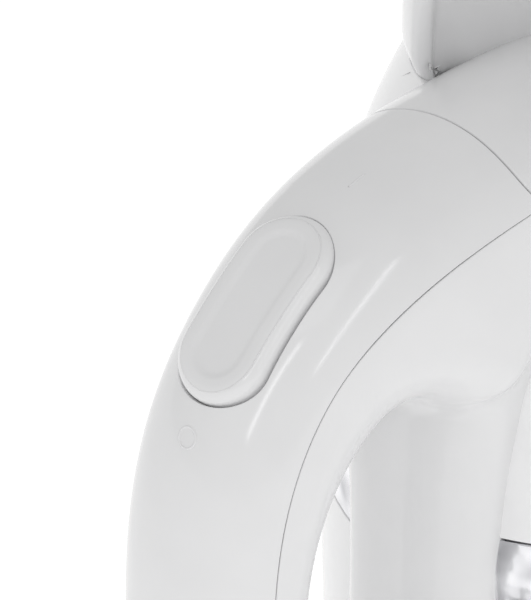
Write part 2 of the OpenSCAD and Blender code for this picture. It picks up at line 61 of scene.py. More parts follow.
# ---- Driving dimensions, in millimetres: the same as the part's own ----
BODY_R = 45.0
HEEL_R = 38.5
WAIST_Z = 88.0
SHOULDER_Z = 157.0
SHOULDER_R = 33.2
WALL = 2.2
SEAM = 0.25
PARTING = 0.1

HANDLE_X = -96.1
GAP_X = -76.0
OUTER_TOP = (-20.9, 162.0)
GAP_TOP = (-36.9, 132.0)
OUTER_LOW = (-30.0, 16.0)
GAP_LOW = 42.0
GAP_LOW_R = 16.0
GRIP_W = 13.95
BRIDGE_W = 20.2
SPINE_W = 12.8
SPINE_FRONT = 8.5
CORNER_FRONT = 14.5
LOWER_FRONT = 13.0
GAP_CORNER = 7.0
JOIN_T = 51.5
INSIDE_X = -30.0
COVER_END_X = -7.0
COVER_SEAM_U = 100.3

BAND_Z = 102.0
BAND_W = 11.0
BAND_TILT = 9.0

CAP_R = 34.2
CAP_TOP = 176.0
SLOT_W = 15.6
SLOT_X = -24.0

ROCKER_T = 46.5
ROCKER_L = 29.6
ROCKER_W = 15.2
ROCKER_BOW = 72.0

DIAL_R = 18.0
DIAL_X = 11.0
DIAL_Z = CAP_TOP + 0.5

BEATER_Y = 19.0
BEATER_Z = 136.0
NECK_X = 92.0
BEATER_REACH = 164.0
CAGE_R = 17.5
WIRE_R = 1.3

CORD_Z = 26.0

STEP = 0.8

# ---- The photo's view, in millimetres and degrees ----
VIEW_AIM = (-76.26, 0, 147.75)
VIEW_DISTANCE = 670.4
VIEW_AZIMUTH = 44.309
VIEW_ELEVATION = 30.185
VIEW_LENS = 304.8


# ---- Small geometry helpers ----


def cosd(angle):
    return np.cos(np.radians(angle))


def sind(angle):
    return np.sin(np.radians(angle))


def mix(a, b, share):
    return a + (b - a) * share


def ramp(u):
    """Zero well below 0, u well above it, and smooth between."""
    return (u + np.sqrt(u * u + 0.04)) / 2


def smooth_step(u):
    u = np.clip(u, 0, 1)
    return u * u * (3 - 2 * u)


def ticks(stops, step):
    """Values from the first stop to the last that hit every stop, at most step apart."""
    runs = [
        np.linspace(a, b, max(2, math.ceil((b - a) / step) + 1))[:-1]
        for a, b in zip(stops, stops[1:])
    ]
    return np.concatenate(runs + [[stops[-1]]])


def corner(side, base, end, power, t):
    """A quarter of a superellipse in the plane y = 0, from the side x to the end, as x and z."""
    across = np.clip(cosd(t), 0, 1) ** (2 / power)
    along = np.clip(sind(t), 0, 1) ** (2 / power)
    return np.stack([end[0] - (end[0] - side) * across, base + (end[1] - base) * along], -1)


def grid_quads(rows, columns, wrap_rows=False, wrap_columns=False):
    """Faces of a grid whose points run row by row."""
    i, j = np.meshgrid(
        np.arange(rows if wrap_rows else rows - 1),
        np.arange(columns if wrap_columns else columns - 1),
        indexing="ij",
    )
    i2, j2 = (i + 1) % rows, (j + 1) % columns
    corners = [i * columns + j, i2 * columns + j, i2 * columns + j2, i * columns + j2]
    return np.stack(corners, -1).reshape(-1, 4)


def away_from_spine(x, y, half):
    """The nearest point on a racetrack's middle line, and the unit direction away from it."""
    middle = np.clip(x, -half, half)
    distance = np.maximum(np.hypot(x - middle, y), 1e-9)
    return middle, (x - middle) / distance, y / distance


def pierced_grid(us, vs, holes):
    """A grid over us by vs, as (u, v) points and quads. Each hole takes the cells inside its
    window away and fills them with rings that close in on a racetrack. flat() turns (u, v) into
    lengths from the hole's centre, with x along the racetrack, and unflat() turns them back."""
    columns = len(vs)
    grid = np.stack(np.meshgrid(us, vs, indexing="ij"), -1).reshape(-1, 2)
    kept = np.ones((len(us) - 1, columns - 1), bool)
    points, quads, count = [grid], [], len(grid)
    for hole in holes:
        i0, i1 = (int(np.abs(us - u).argmin()) for u in hole["u"])
        j0, j1 = (int(np.abs(vs - v).argmin()) for v in hole["v"])
        kept[i0:i1, j0:j1] = False
        border = [(i, j0) for i in range(i0, i1)] + [(i1, j) for j in range(j0, j1)]
        border += [(i, j1) for i in range(i1, i0, -1)] + [(i0, j) for j in range(j1, j0, -1)]
        outer = np.array([i * columns + j for i, j in border])
        x, y = hole["flat"](grid[outer, 0], grid[outer, 1])
        half = (hole["length"] - hole["width"]) / 2
        middle, nx, ny = away_from_spine(x, y, half)
        edge_x, edge_y = middle + nx * hole["width"] / 2, ny * hole["width"] / 2
        for k in range(1, hole["rings"] + 1):
            share = k / hole["rings"]
            u, v = hole["unflat"](mix(x, edge_x, share), mix(y, edge_y, share))
            points.append(np.stack([u, v], -1))
            inner = count + np.arange(len(outer))
            quads.append(np.stack([outer, np.roll(outer, -1), np.roll(inner, -1), inner], -1))
            outer, count = inner, count + len(outer)
    i, j = np.nonzero(kept)
    first = i * columns + j
    quads.append(np.stack([first, first + columns, first + columns + 1, first + 1], -1))
    points, quads = np.concatenate(points), np.concatenate(quads)
    used, quads = np.unique(quads, return_inverse=True)
    return points[used], quads.reshape(-1, 4)


def rounded(points, radius, steps=6):
    """An open outline with its inner corners replaced by arcs of about that radius."""
    points = [np.array(p, float) for p in points]
    path = [points[0]]
    for a, b, c in zip(points, points[1:], points[2:]):
        back, ahead = (a - b), (c - b)
        size_back, size_ahead = np.linalg.norm(back), np.linalg.norm(ahead)
        back, ahead = back / size_back, ahead / size_ahead
        turn = math.acos(np.clip(back @ ahead, -1, 1))
        cut = min(radius / math.tan(turn / 2), 0.45 * size_back, 0.45 * size_ahead)
        for k in range(steps + 1):
            share = k / steps
            first, second = b + back * cut * (1 - share), b + ahead * cut * share
            path.append(mix(first, second, share))
    return np.array(path + [points[-1]])


def revolve(profile, steps=128):
    """Points and quads of an outline (r, z) turned about Z."""
    angle = np.arange(steps) * 2 * math.pi / steps
    r, z = np.asarray(profile, float).T
    x = r[:, None] * np.cos(angle)
    y = r[:, None] * np.sin(angle)
    points = np.stack([x, y, np.broadcast_to(z[:, None], x.shape)], -1).reshape(-1, 3)
    return points, grid_quads(len(r), steps, wrap_columns=True)


def along_x(points, y, z):
    """Turns a shape made about Z to lie about +X, on the axis through (y, z)."""
    return np.stack([points[:, 2], y + points[:, 0], z + points[:, 1]], -1)


def tube(path, radius, side, steps=16, closed=False):
    """A round tube along a plane path. side is the unit normal of the path's plane."""
    path = np.asarray(path, float)
    if closed:
        tangent = np.roll(path, -1, 0) - np.roll(path, 1, 0)
    else:
        tangent = np.gradient(path, axis=0)
    tangent /= np.linalg.norm(tangent, axis=1, keepdims=True)
    side = np.broadcast_to(np.asarray(side, float), path.shape)
    out = np.cross(side, tangent)
    angle = np.arange(steps) * 2 * math.pi / steps
    ring = out[:, None] * np.cos(angle)[:, None] + side[:, None] * np.sin(angle)[:, None]
    points = (path[:, None] + radius * ring).reshape(-1, 3)
    return points, grid_quads(len(path), steps, wrap_rows=closed, wrap_columns=True)


def joined(parts):
    """Several (points, faces) as one."""
    points, faces, count = [], [], 0
    for part_points, part_faces in parts:
        points.append(part_points)
        faces.append(part_faces + count)
        count += len(part_points)
    return np.concatenate(points), np.concatenate(faces)


def new_piece(name, shape, slot, body="housing", replaces=(), flip=False, lid=None):
    """Makes a smooth mesh of (points, faces) in millimetres, which rides on a body. lid is one
    more face, flat, of any number of corners."""
    points, faces = shape
    faces = (faces[:, ::-1] if flip else faces).tolist()
    smooth = [True] * len(faces)
    if lid is not None:
        faces.append(lid.tolist())
        smooth.append(False)
    mesh = bpy.data.meshes.new(name)
    mesh.from_pydata((points * MM).tolist(), [], faces)
    mesh.polygons.foreach_set("use_smooth", smooth)
    piece = bpy.data.objects.new(name, mesh)
    bpy.context.scene.collection.objects.link(piece)
    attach(piece, body)
    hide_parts(*replaces)
    mesh.materials.append(MATERIALS[slot]())
    return piece


def thicken(piece, wall=WALL, edge=0.3):
    """Turns an open sheet into a moulded wall with rounded rims."""
    solid = piece.modifiers.new("wall", "SOLIDIFY")
    solid.thickness = wall * MM
    solid.offset = -1
    rim = piece.modifiers.new("rim", "BEVEL")
    rim.width = edge * MM
    rim.segments = 3
    rim.limit_method = "ANGLE"
    rim.angle_limit = math.radians(50)
    rim.use_clamp_overlap = False
    rim.harden_normals = True
    return piece


def close_poles(piece):
    """Welds the rings of radius zero at the ends of a turned shape."""
    weld = piece.modifiers.new("weld", "WELD")
    weld.merge_threshold = 0.002 * MM
    return piece


# ---- Materials ----

made = {}


def surface(
    name, dark, light, rough, size, metallic=0.0, bump=0.0, stretch=(1, 1, 1), detail=4.0
):
    """A grained surface: its colour and roughness wander over patches of about that size in mm,
    and bump is the height of the grain in mm."""
    if name in made:
        return made[name]
    material = bpy.data.materials.new(name)
    material.use_nodes = True
    tree = material.node_tree
    shader = tree.nodes["Principled BSDF"]
    shader.inputs["Metallic"].default_value = metallic
    coords = tree.nodes.new("ShaderNodeTexCoord")
    mapping = tree.nodes.new("ShaderNodeMapping")
    mapping.inputs["Scale"].default_value = stretch
    tree.links.new(coords.outputs["Object"], mapping.inputs["Vector"])
    noise = tree.nodes.new("ShaderNodeTexNoise")
    noise.inputs["Scale"].default_value = 1 / (size * MM)
    noise.inputs["Detail"].default_value = detail
    tree.links.new(mapping.outputs["Vector"], noise.inputs["Vector"])
    colours = tree.nodes.new("ShaderNodeValToRGB")
    colours.color_ramp.elements[0].color = (*dark, 1)
    colours.color_ramp.elements[1].color = (*light, 1)
    colours.color_ramp.elements[0].position = 0.3
    colours.color_ramp.elements[1].position = 0.7
    tree.links.new(noise.outputs["Fac"], colours.inputs["Fac"])
    tree.links.new(colours.outputs["Color"], shader.inputs["Base Color"])
    spread = tree.nodes.new("ShaderNodeMapRange")
    spread.inputs["To Min"].default_value = rough[0]
    spread.inputs["To Max"].default_value = rough[1]
    tree.links.new(noise.outputs["Fac"], spread.inputs["Value"])
    tree.links.new(spread.outputs["Result"], shader.inputs["Roughness"])
    if bump:
        relief = tree.nodes.new("ShaderNodeBump")
        relief.inputs["Distance"].default_value = bump * MM
        tree.links.new(noise.outputs["Fac"], relief.inputs["Height"])
        tree.links.new(relief.outputs["Normal"], shader.inputs["Normal"])
    made[name] = material
    return material


def banded(name, dark, light, rough, pitch, direction, metallic=0.0, bump=0.05):
    """Fine regular bands, such as stacked sheets or wound wire, across one axis."""
    if name in made:
        return made[name]
    material = surface(name, dark, light, rough, 3.0, metallic)
    tree = material.node_tree
    shader = tree.nodes["Principled BSDF"]
    coords = tree.nodes["Texture Coordinate"]
    wave = tree.nodes.new("ShaderNodeTexWave")
    wave.bands_direction = direction
    # A wave texture repeats 20 / (2 pi) times per unit at scale 1.
    wave.inputs["Scale"].default_value = 2 * math.pi / 20 / (pitch * MM)
    tree.links.new(coords.outputs["Object"], wave.inputs["Vector"])
    relief = tree.nodes.new("ShaderNodeBump")
    relief.inputs["Distance"].default_value = bump * MM
    tree.links.new(wave.outputs["Fac"], relief.inputs["Height"])
    tree.links.new(relief.outputs["Normal"], shader.inputs["Normal"])
    return material


def white_plastic():
    return surface("white_plastic", (0.85, 0.85, 0.855), (0.875, 0.875, 0.878), (0.16, 0.2), 9.0)


def handle_plastic():
    return surface("handle_plastic", (0.755, 0.755, 0.76), (0.775, 0.775, 0.78), (0.1, 0.14), 9.0)


def dial_plastic():
    return surface(
        "dial_plastic", (0.72, 0.72, 0.725), (0.75, 0.75, 0.755), (0.32, 0.42), 1.2, bump=0.01
    )


def chrome():
    return surface(
        "chrome", (0.78, 0.78, 0.8), (0.9, 0.9, 0.91), (0.05, 0.12), 6.0, metallic=1.0
    )


def dimpled_chrome_painted_reflection():
    """The trim band: polished metal with a dimpled, rippling skin from the bump, and its colour
    swings between dark and light patches, which is painted reflection.
    """
    return surface(
        "dimpled_chrome_painted_reflection",
        (0.5, 0.5, 0.52),
        (0.88, 0.88, 0.9),
        (0.1, 0.2),
        4.2,
        metallic=1.0,
        bump=0.8,
        detail=0.6,
    )


def rubber():
    return surface("rubber", (0.028, 0.028, 0.03), (0.05, 0.05, 0.052), (0.6, 0.8), 0.8, bump=0.03)


def black_plastic():
    return surface(
        "black_plastic", (0.018, 0.018, 0.02), (0.035, 0.035, 0.037), (0.35, 0.5), 0.9, bump=0.01
    )


def steel():
    return surface(
        "steel",
        (0.5, 0.5, 0.52),
        (0.68, 0.68, 0.7),
        (0.22, 0.36),
        1.5,
        metallic=1.0,
        stretch=(1, 1, 0.08),
    )


def lamination():
    return banded("lamination", (0.2, 0.21, 0.23), (0.34, 0.35, 0.37), (0.4, 0.55), 0.5, "Z", 0.9)


def copper():
    return banded("copper", (0.42, 0.17, 0.07), (0.62, 0.28, 0.12), (0.25, 0.4), 0.6, "Z", 0.9)


def bronze():
    return surface(
        "bronze", (0.42, 0.27, 0.1), (0.6, 0.41, 0.18), (0.35, 0.55), 0.5, metallic=1.0, bump=0.01
    )


def carbon():
    return surface("carbon", (0.012, 0.012, 0.012), (0.03, 0.03, 0.03), (0.5, 0.7), 0.4, bump=0.02)


def board():
    return surface("board", (0.008, 0.09, 0.035), (0.02, 0.16, 0.06), (0.25, 0.4), 2.0, bump=0.02)


def aluminium():
    return surface(
        "aluminium", (0.55, 0.56, 0.58), (0.7, 0.71, 0.73), (0.4, 0.6), 0.6, metallic=1.0, bump=0.03
    )


def nylon():
    return surface("nylon", (0.72, 0.68, 0.56), (0.8, 0.77, 0.66), (0.4, 0.55), 2.0)


MATERIALS = {
    "white_plastic": white_plastic,
    "handle_plastic": handle_plastic,
    "dial_plastic": dial_plastic,
    "chrome": chrome,
    "rubber": rubber,
    "black_plastic": black_plastic,
    "steel": steel,
    "lamination": lamination,
    "copper": copper,
    "bronze": bronze,
    "carbon": carbon,
    "board": board,
    "aluminium": aluminium,
    "nylon": nylon,
}


def dress_cad_nodes():
    """Gives each CAD node the material of its slot in the record."""
    slots = {row["node"]: row["material_slot"] for row in frame["record"]["subparts"]}
    for name, node in frame["nodes"].items():
        node.data.materials.clear()
        node.data.materials.append(MATERIALS[slots[name]]())


# ---- Body ----


def body_radius(z):
    up = np.clip((z - WAIST_Z) / (SHOULDER_Z - WAIST_Z), 0, None)
    down = np.clip((WAIST_Z - z) / WAIST_Z, 0, None)
    return BODY_R - (BODY_R - SHOULDER_R) * up**3.2 - (BODY_R - HEEL_R) * down**2.2


def body_points(angle, z, lift=0.0):
    r = body_radius(z) + lift
    return np.stack([r * cosd(angle), r * sind(angle), z], -1)


def slant(angle, z, lift=0.0):
    """Height at which the slanted plane through (0, 0, z) meets the body at that angle."""
    height = np.full(np.shape(angle), float(z))
    for _ in range(12):
        height = z + math.tan(math.radians(BAND_TILT)) * (body_radius(height) + lift) * cosd(angle)
    return height


def stretched(v, fixed, reach, top):
    """v up to fixed, and from there on spread so that reach lands on top."""
    return np.where(v <= fixed, v, fixed + (v - fixed) / (reach - fixed) * (top - fixed))


def upright_slot(angle, z, length, width, half_angle, half_height, rings):
    """A racetrack hole in the body's wall, with its long side upright."""
    around = math.radians(1) * float(body_radius(np.array(z)))
    return {
        "u": (angle - half_angle, angle + half_angle),
        "v": (z - half_height, z + half_height),
        "length": length,
        "width": width,
        "rings": rings,
        "flat": lambda u, v: (v - z, (u - angle) * around),
        "unflat": lambda x, y: (angle + y / around, z + x),
    }


def rear_housing():
    """Lower body shell, with two rows of vent slots and the hole for the cord's bushing."""
    vents = [side * (28 + 8 * i) for side in (-1, 1) for i in range(7)]
    holes = [upright_slot(a, 25, 22, 2.4, 3.4, 13, 3) for a in vents]
    holes.append(upright_slot(90, CORD_Z, 12.2, 12.2, 10, 10, 4))
    sides = sorted({s for h in holes for s in h["u"]} | {-180, 180})
    us = ticks(sides, 1.2)
    vs = ticks([3.4, 12, 16, 36, 38, 50, 95], STEP)
    uv, quads = pierced_grid(us, vs, holes)
    top = slant(uv[:, 0], BAND_Z - BAND_W / 2) - SEAM / 2
    z = stretched(uv[:, 1], 50, 95, top)
    shape = body_points(uv[:, 0], z), quads
    return thicken(new_piece("rear_shell", shape, "white_plastic", replaces=["rear_housing"]))


def collar_hole(side):
    """The round hole under a beater's collar, seen along X."""
    base = BAND_Z + BAND_W / 2

    def flat(u, v):
        bottom = slant(u, base)
        z = mix(bottom, SHOULDER_Z, v)
        return z - BEATER_Z, body_radius(z) * sind(u) - side * BEATER_Y

    def unflat(x, y):
        z = x + BEATER_Z
        u = np.degrees(np.arcsin((y + side * BEATER_Y) / body_radius(z)))
        bottom = slant(u, base)
        return u, (z - bottom) / (SHOULDER_Z - bottom)

    angles = sorted((side * 12.0, side * 46.0))
    heights = (0.2, 0.87)
    return {
        "u": angles,
        "v": heights,
        "length": 15,
        "width": 15,
        "rings": 5,
        "flat": flat,
        "unflat": unflat,
    }


def front_housing():
    """Upper body shell and the collar round each beater."""
    us = ticks([-180, -46, -12, 12, 46, 180], 1.2)
    vs = ticks([0, 0.2, 0.87, 1], 0.018)
    uv, quads = pierced_grid(us, vs, [collar_hole(-1), collar_hole(1)])
    bottom = slant(uv[:, 0], BAND_Z + BAND_W / 2) + SEAM / 2
    shape = body_points(uv[:, 0], mix(bottom, SHOULDER_Z, uv[:, 1])), quads
    piece = new_piece("front_shell", shape, "white_plastic", replaces=["front_housing"])
    thicken(piece)
    profile = rounded([(7, 27), (7, 43), (9, 43), (9, 27)], 0.7)
    for side, name in ((1, "left"), (-1, "right")):
        points, faces = revolve(profile, 96)
        points = along_x(points, side * BEATER_Y, BEATER_Z)
        new_piece(f"beater_collar_{name}", (points, faces), "white_plastic", flip=True)


def chrome_band():
    """Slanted metal trim between the two body shells, slightly domed."""
    us = np.linspace(-180, 180, 361)
    vs = np.linspace(0, 1, 25)
    uv = np.stack(np.meshgrid(us, vs, indexing="ij"), -1).reshape(-1, 2)
    quads = grid_quads(len(us), len(vs))
    low = slant(uv[:, 0], BAND_Z - BAND_W / 2) + SEAM / 2
    high = slant(uv[:, 0], BAND_Z + BAND_W / 2) - SEAM / 2
    dome = 0.4 * np.sin(np.pi * uv[:, 1])
    shape = body_points(uv[:, 0], mix(low, high, uv[:, 1]), dome), quads
    piece = new_piece("trim_band", shape, "chrome", replaces=["chrome_band"])
    # The trim's metal: dimples as bump, and painted reflection as dark and light colour patches.
    piece.data.materials[0] = dimpled_chrome_painted_reflection()
    return thicken(piece, edge=0.2)


def cord_bushing():
    """Flanged rubber bushing of the cord inlet, on +Y."""
    profile = rounded([(3.6, 30), (3.6, 45), (7.6, 45), (7.6, 42.6), (6, 42.4), (6, 30)], 0.5)
    points, faces = revolve(profile, 96)
    points = np.stack([points[:, 0], points[:, 2], CORD_Z - points[:, 1]], -1)
    new_piece("cord_sleeve", (points, faces), "rubber", replaces=["cord_bushing"], flip=True)


# ---- Nose cap and its controls ----


def cap_outline(r, slot_half, fillet, scoop):
    """Outline of the nose cap seen from above: a circle with a U-shaped slot towards -X. With it
    comes each point's share, from 0 on the circle to 1 in the slot."""
    reach, grown = r - fillet, slot_half + fillet
    fx = (reach**2 - grown**2 + SLOT_X**2) / (2 * SLOT_X)
    if fx < SLOT_X:
        fx = -math.sqrt(reach**2 - grown**2)
    fy = math.sqrt(reach**2 - fx**2)
    leave = math.atan2(fy, max(fx - SLOT_X, 0))
    bow = slot_half * leave
    run = np.linspace(0, bow + max(SLOT_X - fx, 0), 60)
    angle = np.minimum(run, bow) / slot_half
    straight = np.maximum(run - bow, 0)
    wall = np.stack([SLOT_X + slot_half * np.cos(angle) - straight, slot_half * np.sin(angle)], -1)
    wall[:, 1] += scoop(run[-1] - run)
    lean = math.atan2(fy, fx)
    turn = np.linspace(leave - math.pi, lean - 2 * math.pi, 17)[1:]
    bend = np.stack([fx + fillet * np.cos(turn), fy + fillet * np.sin(turn)], -1)
    arc_angles = np.linspace(lean, 0, 90)[1:]
    arc = np.stack([r * np.cos(arc_angles), r * np.sin(arc_angles)], -1)
    half = np.concatenate([wall, bend, arc])
    share = np.concatenate([np.ones(len(wall)), np.linspace(1, 0, len(bend)), np.zeros(len(arc))])
    other = half[1:-1][::-1] * (1, -1)
    return np.concatenate([half, other]), np.concatenate([share, share[1:-1][::-1]])


def nose_cap():
    """The cap over the gearbox, with the slot that the handle's bridge runs into."""
    rim = SHOULDER_Z + 0.2
    roll = 1.0
    heights = np.concatenate([
        rim + roll * (1 - np.cos(np.radians(np.linspace(0, 90, 7)))),
        np.linspace(rim + roll, 168, 16)[1:],
        168 + (CAP_TOP - 168) * np.sin(np.radians(np.linspace(0, 90, 19)))[1:],
    ])

    def outer_radius(z):
        low = np.clip((z - rim) / 3.5, 0, 1)
        high = np.clip((z - 161) / (CAP_TOP - 161), 0, 1)
        return CAP_R - 5 + 5 * (1 - high**2.6) ** (1 / 2.6) - 1.2 * (1 - low) ** 2.4

    def slot_flare(z):
        low = np.clip((rim + roll - z) / roll, 0, 1)
        high = np.clip((z - CAP_TOP + roll) / roll, 0, 1)
        return roll * (2 - np.sqrt(1 - low**2) - np.sqrt(1 - high**2))

    def slot_skirt(z):
        # The slot's wall reaches down to the bridge that lies in it.
        return 2.4 * (1 - smooth_step((z - rim) / 6))

    def scoop_at(z):
        # A finger-tip hollow near the slot's outer corner, which narrows upwards.
        length = 0.5 + 9 * np.clip((172 - z) / (172 - rim), 0, 1) ** 0.8
        return lambda x: 1.4 * smooth_step(x / 2.5) * smooth_step((length - x) / 5)

    rings = [
        cap_outline(float(outer_radius(z)), SLOT_W + float(slot_flare(z)), 1.6, scoop_at(z))
        for z in heights
    ]
    count = len(rings[0][0])
    points = np.concatenate([
        np.column_stack([ring, z - slot_skirt(z) * share])
        for (ring, share), z in zip(rings, heights)
    ])
    quads = grid_quads(len(heights), count, wrap_columns=True)
    top = (len(heights) - 1) * count + np.arange(count)
    piece = new_piece(
        "nose_shell", (points, quads), "handle_plastic", replaces=["nose_cap"], lid=top
    )
    return thicken(piece)


def speed_dial():
    """Fluted knob with a dished top and a pointer groove."""
    flutes = 18
    profile = rounded(
        [(2, 0), (DIAL_R, 0), (DIAL_R, 4), (DIAL_R - 0.8, 4.6), (DIAL_R - 0.8, 12),
         (DIAL_R - 2.4, 14), (DIAL_R - 5, 13.2), (0.01, 12.8)], 0.7, 8)
    dense = [profile[0]]
    for a, b in zip(profile, profile[1:]):
        pieces = max(1, math.ceil(np.linalg.norm(b - a) / 0.6))
        dense += [mix(a, b, (k + 1) / pieces) for k in range(pieces)]
    points, faces = revolve(dense, 432)
    angle = np.arctan2(points[:, 1], points[:, 0])
    radius = np.hypot(points[:, 0], points[:, 1])
    scallop = np.clip(np.cos(angle * flutes), 0, 1) ** 1.5
    upright = smooth_step((points[:, 2] - 4.4) / 1.2) * smooth_step((radius - DIAL_R + 3) / 1.5)
    inward = 1 - 0.75 * scallop * upright / np.maximum(radius, 1)
    points[:, :2] *= inward[:, None]
    groove = smooth_step((0.9 - np.abs(points[:, 1])) / 0.5)
    groove *= smooth_step((points[:, 0] - DIAL_R + 9) / 0.8)
    groove *= smooth_step((DIAL_R - 3.2 - points[:, 0]) / 0.8) * (points[:, 2] > 12)
    points[:, 2] -= 0.7 * groove
    points += (DIAL_X, 0, DIAL_Z)
    piece = new_piece(
        "dial_knob", (points, faces), "dial_plastic", body="dial", replaces=["speed_dial"]
    )
    return close_poles(piece)


def dial_marks():
    """Raised dots round the dial, for its settings."""
    dot = rounded([(0.9, -0.3), (0.9, 0.25), (0.01, 0.35)], 0.25, 4)
    parts = []
    for k in range(6):
        angle = math.radians(42 * k - 180)
        points, faces = revolve(dot, 24)
        centre = (DIAL_X + (DIAL_R + 3.2) * math.cos(angle), (DIAL_R + 3.2) * math.sin(angle))
        if math.hypot(*centre) < 28.5 and not (centre[0] < -6 and abs(centre[1]) < SLOT_W + 2):
            parts.append((points + (*centre, CAP_TOP), faces))
    new_piece("dial_marks", joined(parts), "dial_plastic")


def eject_button():
    """Push button in the slot's end, with a hollow for the thumb."""
    low, high = 164.6, 173.6
    hollow = np.linspace(high - 0.6, low + 0.6, 15)
    front = [(-25 + math.sqrt(13.4**2 - (z - 169) ** 2), z) for z in hollow]
    outline = rounded([(-6.4, low), (-6.4, high), (-12.1, high), *front, (-12.1, low), (-6.41, low)],
                      0.8, 4)
    middle = outline.mean(0)
    away = outline - middle
    size = np.maximum(np.linalg.norm(away, axis=1, keepdims=True), 2)
    half = 7.0
    roll = 1.0
    turns = np.linspace(0, 90, 6)
    levels = [(-half + roll - roll * sind(90 - t), roll - roll * cosd(90 - t)) for t in turns]
    levels += [(half - roll + roll * sind(t), roll - roll * cosd(t)) for t in turns]
    sections = []
    for y, inset in levels:
        ring = middle + away * (1 - inset / size)
        sections.append(np.column_stack([ring[:, 0], np.full(len(ring), y), ring[:, 1]]))
    ends = [np.broadcast_to((middle[0], y, middle[1]), sections[0].shape) for y in (-half, half)]
    sections = [ends[0], *sections, ends[1]]
    shape = np.concatenate(sections), grid_quads(len(sections), len(outline), wrap_columns=True)
    piece = new_piece(
        "eject_push", shape, "dial_plastic", body="ejector", replaces=["eject_button"]
    )
    return close_poles(piece)


# ---- Handle ----


def outer_up(t):
    return corner(HANDLE_X, 94, OUTER_TOP, 3.02, t)


def gap_up(t):
    return corner(GAP_X, 99.7, GAP_TOP, 2.27, t)


def outer_down(t):
    return corner(HANDLE_X, 72, OUTER_LOW, 2.6, t)


def gap_down(t):
    return corner(GAP_X, GAP_LOW + GAP_LOW_R, (GAP_X + GAP_LOW_R, GAP_LOW), 2, t)


def width_up(t):
    return GRIP_W + (BRIDGE_W - GRIP_W) * ramp((t - 45) / 45)


def width_down(t):
    return GRIP_W + 2 * ramp((t - 45) / 45)


def parting_depth(t):
    return 7.2 + 2 * sind(2 * t)


def eased(n):
    """Angles from 0 to 90 that lie closer together at both ends."""
    return 45 * (1 - np.cos(np.linspace(0, math.pi, n)))


def blurred(values, at, width, closed=0.0):
    """Each column smoothed along a line by a bell curve of that width. closed is the length of
    a closed loop. An open line keeps its own values at its ends."""
    gap = at[:, None] - at[None, :]
    if closed:
        gap = (gap + closed / 2) % closed - closed / 2
    step = np.gradient(at)
    weight = np.exp(-0.5 * (gap / width) ** 2) * step[None, :]
    smooth = (weight @ values) / weight.sum(1, keepdims=True)
    if closed:
        return smooth
    edge = np.minimum(at - at[0], at[-1] - at)[:, None]
    return mix(values, smooth, smooth_step(edge / (3 * width)))


def cap_stations():
    """Stations of the handle cap and head cover, from the heel end to the nose, evenly spaced
    along the outer curve: outer point, gap point, half-width, parting depth."""
    t = eased(240)
    down = t[::-1]
    end = np.linspace(0, 1, 30)[1:, None]
    outer = [outer_down(down), outer_up(t),
             mix(np.array(OUTER_TOP), np.array((COVER_END_X, OUTER_TOP[1])), end)]
    gap = [gap_down(down), gap_up(t),
           mix(np.array(GAP_TOP), np.array((COVER_END_X, GAP_TOP[1])), end)]
    flat = np.full(len(end), 90.0)
    width = [width_down(down), width_up(t), width_up(flat)]
    depth = [parting_depth(down), parting_depth(t), parting_depth(flat)]
    rows = np.column_stack([
        np.concatenate(outer), np.concatenate(gap), np.concatenate(width), np.concatenate(depth)
    ])
    at = np.concatenate([[0], np.cumsum(np.hypot(*np.diff(rows[:, :2], axis=0).T))])
    even = np.linspace(0, at[-1], 700)
    rows = np.column_stack([np.interp(even, at, column) for column in rows.T])
    return even, blurred(rows, even, 2.5)


CAP_AT, CAP_ROWS = cap_stations()
# Length along the outer curve of the point where the upper corner of the handle starts.
UP_START = float(np.interp(94, CAP_ROWS[:, 1], CAP_AT))


def cap_station(u):
    return [np.interp(u, CAP_AT, column) for column in CAP_ROWS.T]


def cap_reach(half, depth):
    return np.arccos(np.clip((half - depth + PARTING / 2) / half, -1, 1))


def cap_points(u, f, lift=0.0):
    """Points of the cap's outer surface. u is the length along it and f, from -1 to 1, goes
    across from one parting line to the other."""
    ox, oz, hx, hz, width, depth = cap_station(u)
    half = np.hypot(hx - ox, hz - oz) / 2
    dx, dz = (hx - ox) / (2 * half), (hz - oz) / (2 * half)
    angle = cap_reach(half, depth) * f
    down = half - (half + lift) * np.cos(angle)
    return np.stack([ox + dx * down, (width + lift) * np.sin(angle), oz + dz * down], -1)


def rocker_u():
    """Length along the outer curve at the middle of the rocker."""
    x, z = outer_up(ROCKER_T)
    return float(CAP_AT[np.hypot(CAP_ROWS[:, 0] - x, CAP_ROWS[:, 1] - z).argmin()])


def rocker_frame():
    """Origin and axes at the rocker: along the handle, across it and outwards."""
    before, after = outer_up(ROCKER_T - 1), outer_up(ROCKER_T + 1)
    rise = math.atan2(after[1] - before[1], after[0] - before[0])
    x, z = outer_up(ROCKER_T)
    along = np.array([math.cos(rise), 0, math.sin(rise)])
    across = np.array([0, 1, 0])
    out = np.array([-math.sin(rise), 0, math.cos(rise)])
    return np.array([x, 0, z]), along, across, out


def rocker_hole():
    """The racetrack opening for the rocker, measured along the outer curve and across it."""
    centre = rocker_u()

    def flat(u, v):
        half, width, depth = cap_sizes(u)
        return u - centre, width * np.sin(cap_reach(half, depth) * v)

    def unflat(x, y):
        half, width, depth = cap_sizes(centre + x)
        return centre + x, np.arcsin(np.clip(y / width, -1, 1)) / cap_reach(half, depth)

    return {
        "u": (centre - 20.5, centre + 20.5),
        "v": (-0.625, 0.625),
        "length": ROCKER_L,
        "width": ROCKER_W,
        "rings": 6,
        "flat": flat,
        "unflat": unflat,
    }


def cap_sizes(u):
    ox, oz, hx, hz, width, depth = cap_station(u)
    return np.hypot(hx - ox, hz - oz) / 2, width, depth


def cover_seam(f):
    """Where the head cover starts, as a length along the handle's upper corner."""
    return UP_START + COVER_SEAM_U + 2.6 * f**6


